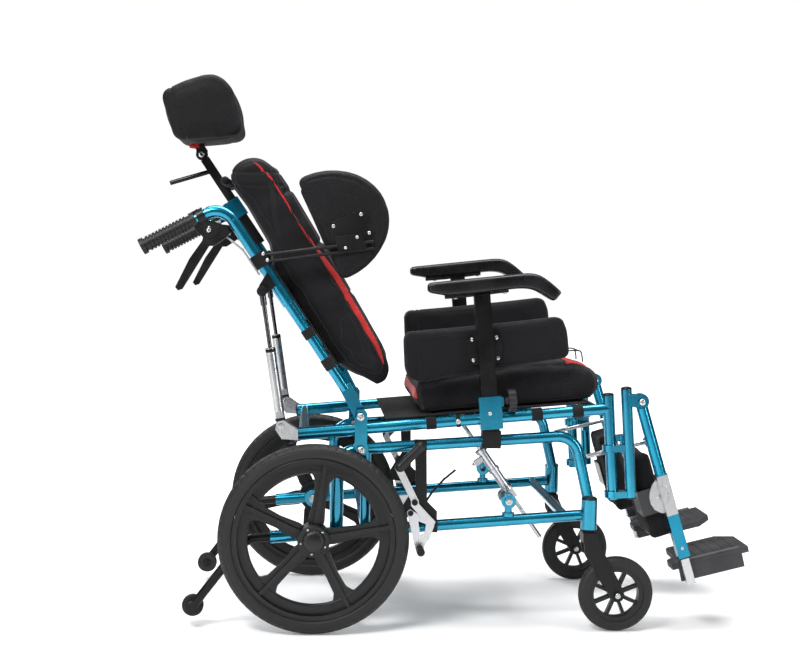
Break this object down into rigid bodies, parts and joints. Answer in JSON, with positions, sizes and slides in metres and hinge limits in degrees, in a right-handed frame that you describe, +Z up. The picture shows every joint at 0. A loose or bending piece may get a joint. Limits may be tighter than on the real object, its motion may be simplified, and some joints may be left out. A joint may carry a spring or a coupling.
{
  "type": "tilt in space wheelchair",
  "caption": "Manual tilt-in-space wheelchair with reclining back, headrest, side supports, padded armrests and elevating legrests.",
  "frame": {"origin": "on the ground under the middle of the bounding box", "axes": "+X forward, the way the sitter faces; +Y to the sitter's left; +Z up"},
  "size_m": [1.3388, 0.624, 1.19],
  "materials": {
    "blue_paint": "metallic blue lacquer",
    "steel": "zinc plated",
    "black_paint": "satin black",
    "cable_skin": "smooth cable skin",
    "black_cloth": "woven and mesh cloth over foam",
    "grip_rubber": "ribbed",
    "wheel_plastic": "moulded",
    "tyre_rubber": "worn grey-black",
    "footplate_plastic": "ribbed",
    "armrest_foam": "self-skinned foam"
  },
  "bodies": {
    "base": {"base_frame": "blue_paint", "axle_bolts": "steel", "brake_mounts": "black_paint", "lock_cable": "cable_skin"},
    "seat": {"seat_frame": "blue_paint", "seat_sling": "black_cloth", "seat_cushion": "black_cloth"},
    "back": {"back_frame": "blue_paint", "hand_grips": "grip_rubber", "cane_brackets": "black_paint", "back_sling": "black_cloth", "back_cushion": "black_cloth", "recline_cables": "cable_skin"},
    "gas_cylinder": {"gas_cylinders": "steel"},
    "gas_rod": {"gas_rods": "black_paint"},
    "lock_housing": {"lock_housing": "steel"},
    "lock_rod": {"lock_rod": "steel"},
    "headrest_stem": {"headrest_stem": "black_paint"},
    "headrest": {"headrest_pad": "black_cloth"},
    "headrest_lever": {"headrest_lever": "black_paint"},
    "wheel_right": {"wheel_right": "wheel_plastic", "tyre_right": "tyre_rubber"},
    "caster_fork_right": {"caster_fork_right": "black_paint"},
    "caster_wheel_right": {"caster_wheel_right": "tyre_rubber"},
    "anti_tip_right": {"anti_tip_right": "black_paint"},
    "anti_tip_wheel_right": {"anti_tip_wheel_right": "tyre_rubber"},
    "brake_lever_right": {"brake_lever_right": "steel"},
    "brake_shoe_right": {"brake_shoe_right": "steel"},
    "hanger_right": {"hanger_right": "blue_paint"},
    "leg_right": {"leg_tube_right": "blue_paint", "calf_pad_right": "black_cloth"},
    "leg_strut_right": {"leg_strut_right": "steel"},
    "leg_extension_right": {"leg_extension_right": "steel"},
    "footplate_right": {"footplate_right": "footplate_plastic"},
    "armrest_right": {"armrest_post_right": "black_paint", "armrest_pad_right": "armrest_foam", "thigh_pad_right": "black_cloth"},
    "armrest_knob_right": {"armrest_knob_right": "wheel_plastic"},
    "lateral_pad_right": {"lateral_pad_right": "black_cloth"},
    "hand_lever_right": {"hand_lever_right": "black_paint"},
    "wheel_left": {"wheel_left": "wheel_plastic", "tyre_left": "tyre_rubber"},
    "caster_fork_left": {"caster_fork_left": "black_paint"},
    "caster_wheel_left": {"caster_wheel_left": "tyre_rubber"},
    "anti_tip_left": {"anti_tip_left": "black_paint"},
    "anti_tip_wheel_left": {"anti_tip_wheel_left": "tyre_rubber"},
    "brake_lever_left": {"brake_lever_left": "steel"},
    "brake_shoe_left": {"brake_shoe_left": "steel"},
    "hanger_left": {"hanger_left": "blue_paint"},
    "leg_left": {"leg_tube_left": "blue_paint", "calf_pad_left": "black_cloth"},
    "leg_strut_left": {"leg_strut_left": "steel"},
    "leg_extension_left": {"leg_extension_left": "steel"},
    "footplate_left": {"footplate_left": "footplate_plastic"},
    "armrest_left": {"armrest_post_left": "black_paint", "armrest_pad_left": "armrest_foam", "thigh_pad_left": "black_cloth"},
    "armrest_knob_left": {"armrest_knob_left": "wheel_plastic"},
    "lateral_pad_left": {"lateral_pad_left": "black_cloth"},
    "hand_lever_left": {"hand_lever_left": "black_paint"}
  },
  "joints": [
    {"name": "seat_tilt", "type": "hinge", "parent": "base", "child": "seat", "pos_m": [-0.19703, 0, 0.388], "axis": [0, -1, 0], "range_deg": [0, 25]},
    {"name": "back_recline", "type": "hinge", "parent": "seat", "child": "back", "pos_m": [-0.19833, 0, 0.459], "axis": [0, -1, 0], "range_deg": [-20, 31]},
    {"name": "gas_swing", "type": "hinge", "parent": "seat", "child": "gas_cylinder", "pos_m": [-0.36583, 0, 0.438], "axis": [0, -1, 0], "range_deg": [-23, 34]},
    {"name": "gas_stroke", "type": "slide", "parent": "gas_cylinder", "child": "gas_rod", "axis": [-0.1536, 0, 0.9881], "range_m": [-0.089, 0.06]},
    {"name": "lock_swing", "type": "hinge", "parent": "base", "child": "lock_housing", "pos_m": [0.12317, 0, 0.279], "axis": [0, -1, 0], "range_deg": [-3, 3]},
    {"name": "lock_stroke", "type": "slide", "parent": "lock_housing", "child": "lock_rod", "axis": [-0.5786, 0, 0.8156], "range_m": [-0.005, 0.105]},
    {"name": "headrest_height", "type": "slide", "parent": "back", "child": "headrest_stem", "axis": [-0.565, 0, 0.8251], "range_m": [0, 0.08]},
    {"name": "headrest_tilt", "type": "hinge", "parent": "headrest_stem", "child": "headrest", "pos_m": [-0.55708, 0, 1.01929], "axis": [0, -1, 0], "range_deg": [-15, 20]},
    {"name": "headrest_lever_turn", "type": "hinge", "parent": "headrest_stem", "child": "headrest_lever", "pos_m": [-0.53335, 0.0165, 0.98464], "axis": [0, -1, 0], "range_deg": [0, 60]},
    {"name": "wheel_spin_right", "type": "hinge", "parent": "base", "child": "wheel_right", "pos_m": [-0.29383, -0.275, 0.202], "axis": [0, 1, 0], "continuous": true},
    {"name": "caster_swivel_right", "type": "hinge", "parent": "base", "child": "caster_fork_right", "pos_m": [0.29717, -0.242, 0.24], "axis": [0, 0, 1], "continuous": true},
    {"name": "caster_spin_right", "type": "hinge", "parent": "caster_fork_right", "child": "caster_wheel_right", "pos_m": [0.35917, -0.242, 0.081], "axis": [0, 1, 0], "continuous": true},
    {"name": "anti_tip_slide_right", "type": "slide", "parent": "base", "child": "anti_tip_right", "axis": [-0.997, 0, -0.0779], "range_m": [0, 0.05]},
    {"name": "anti_tip_spin_right", "type": "hinge", "parent": "anti_tip_right", "child": "anti_tip_wheel_right", "pos_m": [-0.54983, -0.212, 0.045], "axis": [0, 1, 0], "continuous": true},
    {"name": "brake_lever_swing_right", "type": "hinge", "parent": "base", "child": "brake_lever_right", "pos_m": [-0.08083, -0.262, 0.2796], "axis": [0, 1, 0], "range_deg": [0, 35]},
    {"name": "brake_shoe_swing_right", "type": "hinge", "parent": "base", "child": "brake_shoe_right", "pos_m": [-0.08883, -0.2555, 0.255], "axis": [0, 1, 0], "range_deg": [0, 12]},
    {"name": "legrest_swing_right", "type": "hinge", "parent": "seat", "child": "hanger_right", "pos_m": [0.34217, -0.232, 0.397], "axis": [0.0732, 0, -0.9973], "range_deg": [0, 95]},
    {"name": "leg_elevate_right", "type": "hinge", "parent": "hanger_right", "child": "leg_right", "pos_m": [0.40017, -0.25, 0.4993], "axis": [0, -1, 0], "range_deg": [-1, 60]},
    {"name": "strut_swing_right", "type": "hinge", "parent": "leg_right", "child": "leg_strut_right", "pos_m": [0.42856, -0.207, 0.40759], "axis": [0, -1, 0], "range_deg": [-42, 2]},
    {"name": "leg_length_right", "type": "slide", "parent": "leg_right", "child": "leg_extension_right", "axis": [0.2957, 0, -0.9553], "range_m": [0, 0.08]},
    {"name": "footplate_flip_right", "type": "hinge", "parent": "leg_extension_right", "child": "footplate_right", "pos_m": [0.52698, -0.2334, 0.15287], "axis": [0.9703, 0, 0.2419], "range_deg": [0, 86]},
    {"name": "armrest_height_right", "type": "slide", "parent": "seat", "child": "armrest_right", "axis": [-0.0929, 0, 0.9957], "range_m": [0, 0.06]},
    {"name": "armrest_knob_turn_right", "type": "hinge", "parent": "seat", "child": "armrest_knob_right", "pos_m": [0.12347, -0.25, 0.49751], "axis": [0.9957, 0, 0.0929], "range_deg": [0, 180]},
    {"name": "lateral_pad_slide_right", "type": "slide", "parent": "back", "child": "lateral_pad_right", "axis": [0.99, 0, 0.1411], "range_m": [-0.012, 0.02]},
    {"name": "hand_lever_squeeze_right", "type": "hinge", "parent": "back", "child": "hand_lever_right", "pos_m": [-0.52326, -0.222, 0.84669], "axis": [0, 1, 0], "range_deg": [0, 20], "stiffness_Nm_per_rad": 2, "springref_deg": -11.46},
    {"name": "wheel_spin_left", "type": "hinge", "parent": "base", "child": "wheel_left", "pos_m": [-0.29383, 0.275, 0.202], "axis": [0, 1, 0], "continuous": true},
    {"name": "caster_swivel_left", "type": "hinge", "parent": "base", "child": "caster_fork_left", "pos_m": [0.29717, 0.242, 0.24], "axis": [0, 0, 1], "continuous": true},
    {"name": "caster_spin_left", "type": "hinge", "parent": "caster_fork_left", "child": "caster_wheel_left", "pos_m": [0.35917, 0.242, 0.081], "axis": [0, 1, 0], "continuous": true},
    {"name": "anti_tip_slide_left", "type": "slide", "parent": "base", "child": "anti_tip_left", "axis": [-0.997, 0, -0.0779], "range_m": [0, 0.05]},
    {"name": "anti_tip_spin_left", "type": "hinge", "parent": "anti_tip_left", "child": "anti_tip_wheel_left", "pos_m": [-0.54983, 0.212, 0.045], "axis": [0, 1, 0], "continuous": true},
    {"name": "brake_lever_swing_left", "type": "hinge", "parent": "base", "child": "brake_lever_left", "pos_m": [-0.08083, 0.262, 0.2796], "axis": [0, 1, 0], "range_deg": [0, 35]},
    {"name": "brake_shoe_swing_left", "type": "hinge", "parent": "base", "child": "brake_shoe_left", "pos_m": [-0.08883, 0.2555, 0.255], "axis": [0, 1, 0], "range_deg": [0, 12]},
    {"name": "legrest_swing_left", "type": "hinge", "parent": "seat", "child": "hanger_left", "pos_m": [0.34217, 0.232, 0.397], "axis": [-0.0732, 0, 0.9973], "range_deg": [0, 95]},
    {"name": "leg_elevate_left", "type": "hinge", "parent": "hanger_left", "child": "leg_left", "pos_m": [0.40017, 0.25, 0.4993], "axis": [0, -1, 0], "range_deg": [-1, 60]},
    {"name": "strut_swing_left", "type": "hinge", "parent": "leg_left", "child": "leg_strut_left", "pos_m": [0.42856, 0.207, 0.40759], "axis": [0, -1, 0], "range_deg": [-42, 2]},
    {"name": "leg_length_left", "type": "slide", "parent": "leg_left", "child": "leg_extension_left", "axis": [0.2957, 0, -0.9553], "range_m": [0, 0.08]},
    {"name": "footplate_flip_left", "type": "hinge", "parent": "leg_extension_left", "child": "footplate_left", "pos_m": [0.54098, 0.2334, 0.15287], "axis": [-0.9703, 0, -0.2419], "range_deg": [0, 86]},
    {"name": "armrest_height_left", "type": "slide", "parent": "seat", "child": "armrest_left", "axis": [-0.0929, 0, 0.9957], "range_m": [-0.027, 0.03]},
    {"name": "armrest_knob_turn_left", "type": "hinge", "parent": "seat", "child": "armrest_knob_left", "pos_m": [0.12347, 0.25, 0.49751], "axis": [0.9957, 0, 0.0929], "range_deg": [0, 180]},
    {"name": "lateral_pad_slide_left", "type": "slide", "parent": "back", "child": "lateral_pad_left", "axis": [0.99, 0, 0.1411], "range_m": [-0.012, 0.02]},
    {"name": "hand_lever_squeeze_left", "type": "hinge", "parent": "back", "child": "hand_lever_left", "pos_m": [-0.52326, 0.222, 0.84669], "axis": [0, 1, 0], "range_deg": [0, 20], "stiffness_Nm_per_rad": 2, "springref_deg": -11.46}
  ],
  "couplings": [
    {"joint": "gas_swing", "follows": "back_recline", "ratio": 1.079},
    {"joint": "gas_stroke", "follows": "back_recline", "m_per_rad": -0.16},
    {"joint": "lock_swing", "follows": "seat_tilt", "ratio": -0.06},
    {"joint": "lock_stroke", "follows": "seat_tilt", "m_per_rad": 0.2216},
    {"joint": "brake_shoe_swing_right", "follows": "brake_lever_swing_right", "ratio": 0.32},
    {"joint": "strut_swing_right", "follows": "leg_elevate_right", "ratio": -0.67},
    {"joint": "brake_shoe_swing_left", "follows": "brake_lever_swing_left", "ratio": 0.32},
    {"joint": "strut_swing_left", "follows": "leg_elevate_left", "ratio": -0.67}
  ]
}
